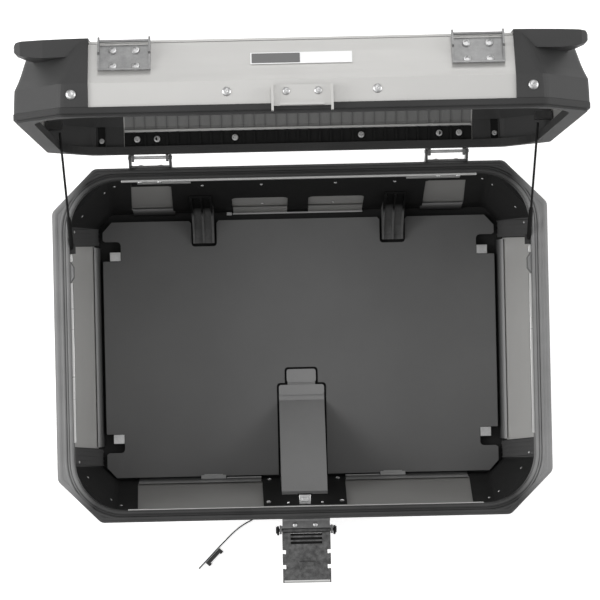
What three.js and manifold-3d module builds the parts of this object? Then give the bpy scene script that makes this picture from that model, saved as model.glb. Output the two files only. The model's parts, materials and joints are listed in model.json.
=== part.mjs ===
// Motorcycle top case, lid open at 90 degrees. Millimetres, +Z up, -Y the front (latch side).
// The origin is the centre of the underside. The lid is drawn closed and turned open by its group.
import * as THREE from 'three';
import { mergeVertices } from 'three/addons/utils/BufferGeometryUtils.js';
import Module from 'manifold-3d';

const wasm = await Module();
wasm.setup();

// ---- driving dimensions -------------------------------------------------------------------------

const GAP = 0.3; // clearance between touching pieces
const SOFT = 4; // how far the rounding of the octagon's corners reaches along each edge
const LID_SOFT = 5; // the same on the lid
const FIT = 0.35; // clearance round a sheet in its slot

const RIM = { x: 295, y: 211, corner: 51 }; // half sizes and corner cut of the rim's outline
const MOUTH = { x: 275, y: 197, radius: 60 }; // half sizes of the opening inside the rim
const FOOT = { x: 262, y: 176, corner: 20 }; // the outline at the underside
const WALL_TOP = 206.7; // height where the walls meet the rim frame
const WALL_CORNER = 58; // corner cut of the walls at that height
const RIM_LOW = 207;
const RIM_TOP = 225;
const PAN_TOP = 26;
const PAN_FLOOR = 4;
const CORNER_THICK = 6;
const SHEET_OUT = 2.5; // how far a wall sheet lies inside the outline, outside and inside face
const SHEET_IN = 4.5;
const LINER_OUT = 4.9; // faces of the liners behind the wall sheets
const LINER_IN = 7.5;
// The base corner pieces cover everything beyond these, at the underside and at the top of the walls.
const CORNER_FROM = { x: [213.2, 201.3], y: [130.6, 119.7] };
const SHEET_REACH = { x: 222, y: 138 }; // half lengths of the wall sheets, which run into the corners

const LID_LOW = 227; // the lid's rim plane when closed
const LID_BAND = 9; // height of the lid's rim frame
const SEAM = { high: 2.6, deep: 3 }; // the step at the bottom of the lid's rim frame
const LID_FOLD = 33; // height of the fold in the lid's front and rear sheets
const LID_TALL = 78; // height of the lid above its rim plane
const LID_CORNER_FROM = { x: 214, y: 118 };
const LID_FLANGE_FROM = 206; // inside, the lid corners reach this far over the front and rear sheets
const LID_SKIN = 3; // thickness of the lid corner's top

const HINGE = { x: 176.5, y: 223, z: 225, half: 25.5, pin: 2 };
const STAY = { x: 272.5, y: 116.5, z: 220, lidX: 273, lidY: 108, lidH: 24, radius: 1.4 };
const LATCH = { y: -226, z: 198, half: 29, reach: 61 };
const COVER = { low: 12, top: 15, x: 251, front: -168, rear: 160 }; // floor cover
const LOCK = { half: 29, tab: 18.7, gap: 2.5 }; // lock cover: half widths, and the gap round it
const GUIDE = { from: 107.5, to: 134.5 }; // strap guides, measured from the middle

// ---- colours ------------------------------------------------------------------------------------

const BLACK = { color: 0x2b2c2e, roughness: 0.6, metalness: 0 };
const DARK = { color: 0x3c3d3f, roughness: 0.7, metalness: 0 };
const RUBBER = { color: 0x161616, roughness: 0.85, metalness: 0 };
const ALUMINIUM = { color: 0xb9b8b5, roughness: 0.45, metalness: 0.85 };
const STEEL = { color: 0xc7c8c9, roughness: 0.3, metalness: 1 };
const CORD = { color: 0x1c1c1c, roughness: 0.8, metalness: 0 };
const PLATE = { color: 0xd9d9d7, roughness: 0.4, metalness: 0.1 };
const RED = { color: 0x8c1c18, roughness: 0.5, metalness: 0 };

// ---- solids -------------------------------------------------------------------------------------

function toSolid(geometry) {
  const bare = new THREE.BufferGeometry();
  bare.setAttribute('position', geometry.attributes.position);
  if (geometry.index) bare.setIndex(geometry.index);
  const merged = mergeVertices(bare, 1e-4);
  return new wasm.Manifold(new wasm.Mesh({
    numProp: 3,
    vertProperties: new Float32Array(merged.attributes.position.array),
    triVerts: new Uint32Array(merged.index.array),
  }));
}

function toGeometry(solid) {
  const mesh = solid.getMesh();
  const geometry = new THREE.BufferGeometry();
  geometry.setAttribute('position', new THREE.BufferAttribute(new Float32Array(mesh.vertProperties), 3));
  geometry.setIndex(new THREE.BufferAttribute(new Uint32Array(mesh.triVerts), 1));
  return geometry;
}

// The same solid on the other side of the plane through the origin across the given axis.
function mirrored(solid, axis) {
  const mesh = solid.getMesh();
  const places = new Float32Array(mesh.vertProperties);
  for (let i = axis; i < places.length; i += 3) places[i] = -places[i];
  const corners = new Uint32Array(mesh.triVerts);
  for (let i = 0; i < corners.length; i += 3) {
    const first = corners[i];
    corners[i] = corners[i + 1];
    corners[i + 1] = first;
  }
  return new wasm.Manifold(new wasm.Mesh({ numProp: 3, vertProperties: places, triVerts: corners }));
}

function toShape(points) {
  return new THREE.Shape(points.map(([u, v]) => new THREE.Vector2(u, v)));
}

function extruded(points, depth) {
  return new THREE.ExtrudeGeometry(toShape(points), { depth, bevelEnabled: false, curveSegments: 6 });
}

// An outline in X and Y, from one height to another.
function alongZ(points, low, high) {
  return toSolid(extruded(points, high - low).translate(0, 0, low));
}

// An outline in Y and Z, from one X to another.
function alongX(points, low, high) {
  const turn = new THREE.Matrix4().set(0, 0, 1, low, 1, 0, 0, 0, 0, 1, 0, 0, 0, 0, 0, 1);
  return toSolid(extruded(points, high - low).applyMatrix4(turn));
}

// An outline in X and Z, from one Y to another.
function alongY(points, low, high) {
  const turn = new THREE.Matrix4().set(1, 0, 0, 0, 0, 0, -1, high, 0, 1, 0, 0, 0, 0, 0, 1);
  return toSolid(extruded(points, high - low).applyMatrix4(turn));
}

function box(x0, x1, y0, y1, z0, z1) {
  const geometry = new THREE.BoxGeometry(x1 - x0, y1 - y0, z1 - z0);
  return toSolid(geometry.translate((x0 + x1) / 2, (y0 + y1) / 2, (z0 + z1) / 2));
}

function rod(from, to, radius, sides = 16) {
  const start = new THREE.Vector3(...from);
  const way = new THREE.Vector3(...to).sub(start);
  const geometry = new THREE.CylinderGeometry(radius, radius, way.length(), sides);
  geometry.translate(0, way.length() / 2, 0);
  const up = new THREE.Vector3(0, 1, 0);
  const turn = new THREE.Quaternion().setFromUnitVectors(up, way.clone().normalize());
  return toSolid(geometry.applyQuaternion(turn).translate(...from));
}

// A solid through outlines with equally many points, each at its own height.
function loft(rings) {
  const places = [];
  const faces = [];
  const count = rings[0].points.length;
  for (const ring of rings) {
    for (const [x, y] of ring.points) places.push(x, y, ring.z);
  }
  for (let level = 0; level + 1 < rings.length; level += 1) {
    for (let i = 0; i < count; i += 1) {
      const a = level * count + i;
      const b = level * count + ((i + 1) % count);
      faces.push(a, b, b + count, a, b + count, a + count);
    }
  }
  for (const [level, facing] of [[0, -1], [rings.length - 1, 1]]) {
    const outline = rings[level].points.map(([x, y]) => new THREE.Vector2(x, y));
    for (const face of THREE.ShapeUtils.triangulateShape(outline, [])) {
      const [a, b, c] = face.map((i) => i + level * count);
      if (facing > 0) faces.push(a, b, c);
      else faces.push(a, c, b);
    }
  }
  const geometry = new THREE.BufferGeometry();
  geometry.setAttribute('position', new THREE.Float32BufferAttribute(places, 3));
  geometry.setIndex(faces);
  return toSolid(geometry);
}

// The given outline with each corner replaced by a short curve that starts the given way before it.
function softened(points, reach) {
  const count = points.length;
  return points.flatMap((corner, i) => {
    const towards = (other) => {
      const way = [other[0] - corner[0], other[1] - corner[1]];
      const share = reach / Math.hypot(...way);
      return [corner[0] + way[0] * share, corner[1] + way[1] * share];
    };
    const from = towards(points[(i + count - 1) % count]);
    const to = towards(points[(i + 1) % count]);
    return [0, 1 / 3, 2 / 3, 1].map((t) => [0, 1].map((axis) => (
      (1 - t) * (1 - t) * from[axis] + 2 * t * (1 - t) * corner[axis] + t * t * to[axis]
    )));
  });
}

function octagon(x, y, cut, reach = 0) {
  const corners = [
    [x, -y + cut], [x, y - cut], [x - cut, y], [-x + cut, y],
    [-x, y - cut], [-x, -y + cut], [-x + cut, -y], [x - cut, -y],
  ];
  return reach > 0 ? softened(corners, reach) : corners;
}

function arc(cx, cy, radius, from, to, steps) {
  const points = [];
  for (let i = 0; i <= steps; i += 1) {
    const angle = THREE.MathUtils.degToRad(from + ((to - from) * i) / steps);
    points.push([cx + radius * Math.cos(angle), cy + radius * Math.sin(angle)]);
  }
  return points;
}

function roundedBox(x, y, radius, steps) {
  return [
    ...arc(x - radius, y - radius, radius, 0, 90, steps),
    ...arc(-x + radius, y - radius, radius, 90, 180, steps),
    ...arc(-x + radius, -y + radius, radius, 180, 270, steps),
    ...arc(x - radius, -y + radius, radius, 270, 360, steps),
  ];
}

function union(solids) {
  return solids.reduce((all, next) => all.add(next));
}

const root = new THREE.Group();
const lid = new THREE.Group();
lid.position.set(0, HINGE.y, HINGE.z);
lid.rotation.x = -Math.PI / 2;
root.add(lid);

function addNode(parent, name, solid, look) {
  const mesh = new THREE.Mesh(toGeometry(solid), new THREE.MeshStandardMaterial(look));
  mesh.name = name;
  parent.add(mesh);
}

function addBase(name, solid, look) {
  addNode(root, name, solid, look);
}

// The lid's pieces are drawn closed, so they move to the hinge line before the group turns them.
function addLid(name, solid, look) {
  addNode(lid, name, solid, look);
  lid.children[lid.children.length - 1].geometry.translate(0, -HINGE.y, -HINGE.z);
}

const SIDES = [['left', -1], ['right', 1]];
const ENDS = [['front', -1], ['rear', 1]];

// ---- base: walls --------------------------------------------------------------------------------

// The tapering octagon of the base walls at a height, moved inwards.
function wallOutline(z, inset) {
  const t = z / WALL_TOP;
  const cut = FOOT.corner + (WALL_CORNER - FOOT.corner) * t;
  return octagon(
    FOOT.x + (RIM.x - 5 - FOOT.x) * t - inset,
    FOOT.y + (RIM.y - 5 - FOOT.y) * t - inset,
    cut - inset * (2 - Math.SQRT2),
    SOFT,
  );
}

function wallFaceY(z, inset) {
  return FOOT.y + ((RIM.y - 5 - FOOT.y) * z) / WALL_TOP - inset;
}

function wallBlock(inset, low, high) {
  return loft([{ z: low, points: wallOutline(low, inset) }, { z: high, points: wallOutline(high, inset) }]);
}

// Everything between two offsets of the walls.
function wallLayer(outer, inner, low, high) {
  return wallBlock(outer, low, high).subtract(wallBlock(inner, low - 1, high + 1));
}

function endSheet(side, extra) {
  const reach = SHEET_REACH.x + extra;
  const span = side < 0 ? [-260, -100] : [100, 260];
  return wallLayer(SHEET_OUT - extra, SHEET_IN + extra, PAN_TOP + GAP - extra, WALL_TOP + extra)
    .intersect(box(-reach, reach, ...span, 0, 300));
}

function sideSheet(side, extra) {
  const reach = SHEET_REACH.y + extra;
  const span = side < 0 ? [-330, -150] : [150, 330];
  return wallLayer(SHEET_OUT - extra, SHEET_IN + extra, PAN_TOP + GAP - extra, WALL_TOP + extra)
    .intersect(box(...span, -reach, reach, 0, 300));
}

// Everything beyond the slanting edges of the corner pieces, in X or in Y. The last value moves them out.
function beyondCorner(axis, side, extra) {
  const [foot, head] = CORNER_FROM[axis];
  const outline = [
    [side * (foot + extra), 0], [side * 330, 0], [side * 330, WALL_TOP], [side * (head + extra), WALL_TOP],
  ];
  return axis === 'x' ? alongY(outline, -330, 330) : alongX(outline, -330, 330);
}

function baseWalls() {
  const plungerHole = rod([0, -230, 66], [0, -160, 66], 6, 16);
  for (const [end, side] of ENDS) {
    let sheet = endSheet(side, 0);
    if (side < 0) sheet = sheet.subtract(plungerHole);
    addBase(`base_${end}_panel`, sheet, ALUMINIUM);
  }
  for (const [name, side] of SIDES) addBase(`base_${name}_panel`, sideSheet(side, 0), ALUMINIUM);
  const shell = wallLayer(0, CORNER_THICK, PAN_TOP + GAP, WALL_TOP);
  const slots = union([endSheet(-1, FIT), endSheet(1, FIT), sideSheet(-1, FIT), sideSheet(1, FIT)]);
  for (const [end, sideY] of ENDS) {
    for (const [name, sideX] of SIDES) {
      const corner = shell.intersect(beyondCorner('x', sideX, 0)).intersect(beyondCorner('y', sideY, 0))
        .subtract(slots);
      addBase(`base_corner_${end}_${name}`, corner, BLACK);
    }
  }
}

function bottomPan() {
  const outer = loft([
    { z: 0, points: wallOutline(0, 4) },
    { z: 5, points: wallOutline(5, -1) },
    { z: PAN_TOP, points: wallOutline(PAN_TOP, -1) },
  ]);
  const hookSlot = box(-14, 14, -152, -112, -1, 6);
  const rackSlots = union([box(-84, -44, 112, 124, -1, 6), box(44, 84, 112, 124, -1, 6)]);
  const pan = outer.subtract(loft([
    { z: PAN_FLOOR, points: wallOutline(PAN_FLOOR, 6) },
    { z: PAN_TOP + 1, points: wallOutline(PAN_TOP + 1, 6) },
  ]));
  // Bosses that carry the floor cover.
  const bosses = [];
  for (const x of [-190, 0, 190]) {
    for (const y of [-20, 130]) bosses.push(box(x - 9, x + 9, y - 9, y + 9, PAN_FLOOR - 1, COVER.low - GAP));
  }
  addBase('bottom_pan', pan.add(union(bosses)).subtract(hookSlot).subtract(rackSlots), BLACK);
}

// ---- base: rim ----------------------------------------------------------------------------------

function baseRim() {
  const outer = loft([
    { z: RIM_LOW, points: octagon(RIM.x - 4, RIM.y - 4, RIM.corner - 1.6, SOFT) },
    { z: RIM_LOW + 5, points: octagon(RIM.x, RIM.y, RIM.corner, SOFT) },
    { z: RIM_TOP - 2.5, points: octagon(RIM.x, RIM.y, RIM.corner, SOFT) },
    { z: RIM_TOP, points: octagon(RIM.x - 2.5, RIM.y - 2.5, RIM.corner - 1, SOFT) },
  ]);
  const round = (out) => roundedBox(MOUTH.x + out, MOUTH.y + out, MOUTH.radius + out, 12);
  const mouth = alongZ(round(0), RIM_LOW - 1, RIM_TOP + 1);
  // The groove follows the opening, so that it bends round the corners in arcs.
  const groove = alongZ(round(7.7), RIM_TOP - 2, RIM_TOP + 1)
    .subtract(alongZ(round(4.6), RIM_TOP - 3, RIM_TOP + 2));
  addBase('base_rim_frame', outer.subtract(mouth).subtract(groove), BLACK);
  const seal = alongZ(round(6.7), RIM_TOP - 1.7, RIM_TOP + 1)
    .subtract(alongZ(round(4.9), RIM_TOP - 3, RIM_TOP + 2));
  addBase('rim_seal', seal, RUBBER);
}

// ---- base: inside -------------------------------------------------------------------------------

// Half of the floor cover's outline, from the front middle to the rear middle, for x > 0, with a
// notch for each strap anchor and one for the strap guide.
function coverHalf() {
  const { x, front, rear } = COVER;
  const notch = 23;
  const guide = { low: GUIDE.from - 3, high: GUIDE.to + 2.5, floor: 127 };
  return [
    [x - 12, front], [x, front + 13],
    [x, -138], [x - 3, -136], ...arc(x - notch + 5, -131, 5, 270, 180, 3),
    ...arc(x - notch + 1.5, -113.5, 1.5, 180, 90, 2), [x - 1, -112], [x, -111],
    [x, 109], [x - 1, 110], ...arc(x - notch + 1.5, 111.5, 1.5, 270, 180, 2),
    ...arc(x - notch + 5, 130, 5, 180, 90, 3), [x - 3, 135], [x, 137],
    [x, rear - 13], [x - 12, rear],
    [guide.high + 3, rear], [guide.high, rear - 3],
    ...arc(guide.high - 4, guide.floor + 4, 4, 0, -90, 3),
    ...arc(guide.low + 4, guide.floor + 4, 4, -90, -180, 3),
    [guide.low, rear - 3], [guide.low - 3, rear],
  ];
}

// A rounded rectangle that stands upright between two heights.
function pillar(half, y0, y1, radius, low, high) {
  const outline = roundedBox(half, (y1 - y0) / 2, radius, 3).map(([x, y]) => [x, y + (y0 + y1) / 2]);
  return alongZ(outline, low, high);
}

function floorCover() {
  const half = coverHalf();
  const otherHalf = half.map(([x, y]) => [-x, y]).reverse();
  const cover = alongZ([...half, ...otherHalf], COVER.low, COVER.top);
  const tab = pillar(LOCK.tab + LOCK.gap, -60, -33 + LOCK.gap, 4, 0, 40);
  const pad = pillar(LOCK.half + LOCK.gap, -190, -53 + LOCK.gap, 4, 0, 40);
  addBase('floor_cover', cover.subtract(tab).subtract(pad), DARK);
}

// A sloping sheet-metal cover over the docking mechanism, with a stepped pad at its foot.
function lockCover() {
  const { half } = LOCK;
  const foot = -73;
  const head = { y: -183, z: 135 };
  const sheet = 2.5;
  const wall = (z) => -wallFaceY(z, LINER_IN + 0.5);
  // The cover narrows by a millimetre on each side towards its head.
  const taper = (inset) => alongY([
    [inset - half, 0], [half - inset, 0], [half - inset - 1, 150], [inset + 1 - half, 150],
  ], -240, -60);
  const slope = alongX([
    [foot, 12], [foot, 16], [head.y, head.z], [wall(head.z - 4), head.z - 4], [wall(12), 12],
  ], -half - 1, half + 1).intersect(taper(0));
  const inside = alongX([
    [foot - 7, 10], [foot - 7, 16], [head.y + 3, head.z - 7], [-230, head.z - 7], [-230, 10],
  ], -half, half).intersect(taper(sheet));
  const pad = pillar(half, -66, -53, 3, 12, 18);
  const tab = pillar(LOCK.tab, -50, -33, 3, 12, 17);
  const neck = box(-LOCK.tab + 1, LOCK.tab - 1, -54, -49, 12, 14);
  const stripe = box(-half, half, -75, -64, 12, 14);
  addBase('lock_cover', union([slope.subtract(inside), pad, tab, neck, stripe]), DARK);
}

function innerLiners() {
  const rear = wallLayer(LINER_OUT, LINER_IN, PAN_TOP + GAP, WALL_TOP)
    .intersect(box(-260, 260, 100, 260, 0, 300))
    .subtract(beyondCorner('x', -1, -GAP))
    .subtract(beyondCorner('x', 1, -GAP));
  const outer = alongY([[159, 20], [230, 20], [230, 168], [159, 168], [155, 164]], 100, 260);
  const arch = [[13, 20], [83, 20], ...arc(75, 86, 8, 0, 90, 4), ...arc(21, 86, 8, 90, 180, 4)];
  const inner = alongY(arch, 100, 260);
  const windows = union([outer, mirrored(outer, 0), inner, mirrored(inner, 0)]);
  addBase('rear_liner', rear.subtract(windows), BLACK);
  const plate = wallLayer(LINER_OUT, LINER_IN, PAN_TOP + GAP, WALL_TOP)
    .intersect(alongY([[-53, 20], [53, 20], [50, WALL_TOP], [-50, WALL_TOP]], -260, -100))
    .subtract(rod([0, -230, 66], [0, -150, 66], 6, 16));
  addBase('front_lock_backplate', plate, BLACK);
}

// Three ribs over a curved ramp, which lead a luggage strap down the rear wall to its slot.
function strapGuides() {
  const back = LINER_IN + GAP;
  const low = COVER.low + 1;
  const high = 112;
  const wall = [wallFaceY(low, back), wallFaceY(high, back)];
  const ramp = [[172.5, 62], [165, 47], [156, 33], [148, 24], [140, 18.5]];
  const ribEdge = [[168.5, 66], [160.5, 49], [151, 35], [143, 26], [137, 22], [131, 20.5]];
  const rib = [[131, low], [wall[0], low], [wall[1], high], [wall[1] - 6, high], ...ribEdge];
  const web = [
    [138, low], [wall[0], low], [wall[1], high], [wall[1] - 2.5, high], ...ramp, [138, 18],
  ];
  const thick = 2.6;
  const middle = (GUIDE.from + GUIDE.to) / 2;
  for (const [name, side] of SIDES) {
    const guide = union([
      alongX(rib, GUIDE.from, GUIDE.from + thick),
      alongX(rib, middle - thick / 2, middle + thick / 2),
      alongX(rib, GUIDE.to - thick, GUIDE.to),
      alongX(web, GUIDE.from + 1, GUIDE.to - 1),
      box(GUIDE.from + 1, GUIDE.to - 1, 131, 139, low, low + 3.5),
    ]);
    addBase(`strap_guide_${name}`, side > 0 ? guide : mirrored(guide, 0), BLACK);
  }
}

// Folded steel tabs in the notches of the floor cover, which hold the luggage straps.
function strapAnchors() {
  const spans = { front: [-124, -112.6], rear: [110.6, 121.5] };
  for (const [end, [from, to]] of Object.entries(spans)) {
    const low = PAN_FLOOR + GAP;
    const anchor = union([
      box(228.6, 242, from, to, COVER.top - 2.6, COVER.top - 1),
      box(240.4, 242, from, to, low, COVER.top - 1),
      box(231, 242, from, to, low, low + 1.6),
    ]);
    for (const [name, side] of SIDES) {
      addBase(`strap_anchor_${end}_${name}`, side > 0 ? anchor : mirrored(anchor, 0), STEEL);
    }
  }
}

// ---- hinges -------------------------------------------------------------------------------------

function hinges() {
  const { half, pin } = HINGE;
  const faceY = RIM.y + GAP;
  const eye = 5;
  const ear = (from, to, points) => alongX(points, from, to);
  const hole = rod([-half - 5, HINGE.y, HINGE.z], [half + 5, HINGE.y, HINGE.z], pin + 0.3, 12);
  const eyeRing = arc(HINGE.y, HINGE.z, eye, -90, 90, 6);
  const baseEar = [
    [faceY, 203], [faceY + 2.4, 203], [HINGE.y, HINGE.z - eye], ...eyeRing.slice(1), [faceY, 222],
  ];
  const base = union([
    box(-half, half, faceY, faceY + 2.4, 196, 222),
    ear(-half, -half + 3, baseEar),
    ear(half - 3, half, baseEar),
  ]).subtract(hole);
  const lidLow = LID_LOW + 1.5;
  const lidEyeRing = arc(HINGE.y, HINGE.z, eye, 90, -90, 6);
  const lidEar = [
    [faceY, 247], [faceY, lidLow], [HINGE.y - 4, HINGE.z + 2], [HINGE.y - 3, HINGE.z - eye + 1],
    ...lidEyeRing.reverse().slice(0, 6), [HINGE.y, HINGE.z + eye], [faceY + 2.4, 247],
  ];
  const leaf = union([
    box(-half, half, faceY, faceY + 2.4, lidLow, 254),
    ear(-half + 3.5, -half + 6.5, lidEar),
    ear(half - 6.5, half - 3.5, lidEar),
  ]).subtract(hole);
  const pinSolid = rod([-half - 1, HINGE.y, HINGE.z], [half + 1, HINGE.y, HINGE.z], pin, 12);
  for (const [name, side] of SIDES) {
    const move = (solid) => toSolid(toGeometry(solid).translate(side * HINGE.x, 0, 0));
    addBase(`hinge_base_leaf_${name}`, move(base), STEEL);
    addBase(`hinge_pin_${name}`, move(pinSolid), STEEL);
    addLid(`hinge_lid_leaf_${name}`, move(leaf), STEEL);
  }
}

// ---- stays --------------------------------------------------------------------------------------

// The open lid holds its end of the stay above the height and behind the place it has when closed.
function stays() {
  const start = new THREE.Vector3(STAY.x, STAY.y, STAY.z);
  const openY = HINGE.y + LID_LOW + STAY.lidH - HINGE.z;
  const end = new THREE.Vector3(STAY.lidX, openY, HINGE.z + HINGE.y - STAY.lidY);
  const stop = start.clone().lerp(end, 0.955);
  const lugTop = STAY.z - 1.2;
  for (const [name, side] of SIDES) {
    const place = (solid) => (side > 0 ? solid : mirrored(solid, 0));
    const lug = box(269, MOUTH.x - GAP, STAY.y - 5.5, STAY.y + 5.5, lugTop - 11, lugTop);
    addBase(`stay_anchor_base_${name}`, place(lug), BLACK);
    const eye = box(STAY.lidX - 4, 288, STAY.lidY - 6, STAY.lidY + 6, LID_LOW + 21, LID_LOW + 30);
    addLid(`stay_anchor_lid_${name}`, place(eye), BLACK);
    addBase(`stay_${name}`, place(rod(start.toArray(), stop.toArray(), STAY.radius, 8)), CORD);
  }
}

// ---- latch, lock and docking --------------------------------------------------------------------

function latch() {
  const { y, z, half } = LATCH;
  const face = -RIM.y - GAP;
  const pinHole = rod([-50, y, z], [50, y, z], 2.3, 12);
  // The ears hang from the wings of the bracket's top plate, and hold the pin.
  const earOutline = [
    [y + 5.5, z + 8.4], [y - 1, z + 8.4], [y - 4.5, z + 4], [y - 4.5, z - 2], [y - 2, z - 4.5],
    [y + 5.5, z - 4.5],
  ];
  const bracket = union([
    box(-half + 0.5, half - 0.5, face - 2.4, face, z - 9, RIM_TOP - 4),
    box(-half + 0.5, half - 0.5, face - 12, face, z + 6, z + 8.4),
    box(-half - 3, half + 3, face - 12, y + 5.5, z + 6, z + 8.4),
    alongX(earOutline, -half - 3, -half - 0.5),
    alongX(earOutline, half + 0.5, half + 3),
  ]).subtract(pinHole);
  addBase('latch_bracket', bracket, STEEL);
  const pin = union([
    rod([-half - 7, y, z], [half + 7, y, z], 2, 12),
    rod([-half - 7.5, y, z], [-half - 3.5, y, z], 4, 12),
    rod([half + 3.5, y, z], [half + 7.5, y, z], 4, 12),
  ]);
  addBase('latch_pin', pin, BLACK);

  const tip = y - LATCH.reach;
  const barrel = rod([-half, y, z], [half, y, z], 3.6, 12);
  const plate = box(-half, half, tip, y, z - 2, z + 0.6);
  const flange = box(half - 2.4, half, tip, y + 1, z - 8, z);
  const flanges = flange.add(mirrored(flange, 0));
  const lip = rod([-half, tip, z - 2.5], [half, tip, z - 2.5], 3.1, 12);
  const claw = union([box(-9, 9, y - 42.3, y - 38.1, z, z + 8), box(-9, 9, y - 47, y - 38.1, z, z + 3)]);
  const slots = [];
  for (const offset of [-7, -12, -17]) slots.push(box(-19, 19, y + offset, y + offset + 3, z - 4, z + 2));
  const notches = [];
  for (const offset of [-24, -42]) {
    notches.push(box(-half - 1, -half + 4, y + offset - 5, y + offset, z - 12, z + 2));
    notches.push(box(half - 4, half + 1, y + offset - 5, y + offset, z - 12, z + 2));
  }
  const lever = union([barrel, plate, flanges, lip, claw]).subtract(union([...slots, ...notches, pinHole]));
  addBase('latch_lever', lever, STEEL);
}

function lockAndDocking() {
  const low = 42;
  const high = 106;
  const half = 42;
  const out = 13;
  const housing = alongX([
    [-wallFaceY(low, SHEET_OUT - GAP - 0.1), low], [-wallFaceY(low, -out + 4), low],
    [-wallFaceY(low + 6, -out), low + 6], [-wallFaceY(high - 6, -out), high - 6],
    [-wallFaceY(high, -out + 6), high], [-wallFaceY(high, SHEET_OUT - GAP - 0.1), high],
  ].reverse(), -half, half);
  const button = { x: 15, low: 56, high: 76, face: -wallFaceY(66, -out - 1.5) };
  const wellHalf = button.x + GAP;
  const well = box(-wellHalf, wellHalf, -230, button.face + 12, button.low - GAP, button.high + GAP);
  const keyway = rod([0, -230, 92], [0, button.face + 8.5, 92], 8.3, 20);
  const plungerHole = rod([0, -230, 66], [0, -150, 66], 6, 16);
  addBase('lock_housing', housing.subtract(well).subtract(keyway).subtract(plungerHole), BLACK);

  const cap = box(-button.x, button.x, button.face, button.face + 5, button.low, button.high);
  const plunger = rod([0, button.face + 4, 66], [0, -141.8, 66], 4, 12);
  addBase('release_button', cap.add(plunger), RED);

  const key = rod([0, -wallFaceY(92, -out - 0.5), 92], [0, button.face + 8.2, 92], 8, 20);
  addBase('lock_cylinder', key.subtract(box(-1, 1, -230, button.face + 4, 87, 97)), STEEL);

  const hook = alongX([
    [-146, 5], [-134, 5], [-134, 1], [-126, 1], [-122, 5], [-122, 9], [-126, 11], [-137.5, 11],
    [-137.5, 70], [-141.5, 70], [-141.5, 11], [-146, 11],
  ], -11, 11);
  addBase('docking_hook', hook, STEEL);
}

// ---- lid ----------------------------------------------------------------------------------------

// Half sizes of the lid's outline at heights above its rim plane. The sides draw in below the horns,
// and the front and rear stand straight up to the fold.
const LID_SECTIONS = [
  { h: LID_BAND + GAP, x: 0.5, y: 0.5 },
  { h: 20, x: 0.7, y: 0.5 },
  { h: LID_FOLD, x: 1.5, y: 0.5 },
  { h: 42, x: 5, y: 4.5 },
  { h: 50, x: 7.5, y: 8 },
  { h: 62, x: 10.5, y: 13 },
  { h: LID_TALL, x: 15, y: 20 },
];

function lidBlock(inset, top) {
  const rings = [];
  for (const { h, x, y } of LID_SECTIONS) {
    const cut = RIM.corner + (x + y) * 0.15 - inset * (2 - Math.SQRT2);
    const height = h === LID_TALL ? top : h;
    const points = octagon(RIM.x - x - inset, RIM.y - y - inset, cut, LID_SOFT);
    rings.push({ z: LID_LOW + height, points });
  }
  return loft(rings);
}

// The block once more with its lowest ring carried down, to cut a shell open at its rim.
function lidHollow(inset, top) {
  const first = LID_SECTIONS[0];
  const cut = RIM.corner - inset * (2 - Math.SQRT2);
  const outline = octagon(RIM.x - first.x - inset, RIM.y - first.y - inset, cut, LID_SOFT);
  const skirt = alongZ(outline, LID_LOW, LID_LOW + first.h + 1);
  return lidBlock(inset, top).add(skirt);
}

function lidSheet(axis, side, extra) {
  const layer = lidBlock(SHEET_OUT - extra, LID_TALL).subtract(lidHollow(SHEET_IN + extra, LID_TALL + 5));
  const top = LID_LOW + LID_TALL - LID_SKIN - 0.6 + extra;
  const low = LID_LOW + LID_BAND + GAP - extra;
  const reachX = LID_CORNER_FROM.x + 7 + extra;
  const reachY = LID_CORNER_FROM.y + 7 + extra;
  if (axis === 'y') {
    const span = side < 0 ? [-240, -140] : [140, 240];
    return layer.intersect(box(-reachX, reachX, ...span, low, top));
  }
  const span = side < 0 ? [-320, -200] : [200, 320];
  return layer.intersect(box(...span, -reachY, reachY, low, top));
}

// A hook that stands out over the cut corner, for lashing cords, with the raised corner of the lid's
// top. It is drawn for the front right, from above and from the front.
function horn(sideX, sideY) {
  const plan = [
    [214, -190.5], [236, -192], [260, -193], [283, -191], [288.3, -188], [290, -183], [289, -178],
    [286.5, -172], [272, -150], [262, -138], [240, -124], [214, -124],
  ];
  const face = [
    [214, 70], [238, 62], [262, 61.5], [280, 63.5], [287, 65.5], [290, 69], [290.5, 74],
    [287, 78], [280, 79], [230, 80.5], [214, 80.8],
  ].map(([x, h]) => [x, LID_LOW + h]);
  let solid = alongZ(plan, LID_LOW + 50, LID_LOW + 90).intersect(alongY(face, -230, -100));
  if (sideX < 0) solid = mirrored(solid, 0);
  if (sideY > 0) solid = mirrored(solid, 1);
  return solid;
}

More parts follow.
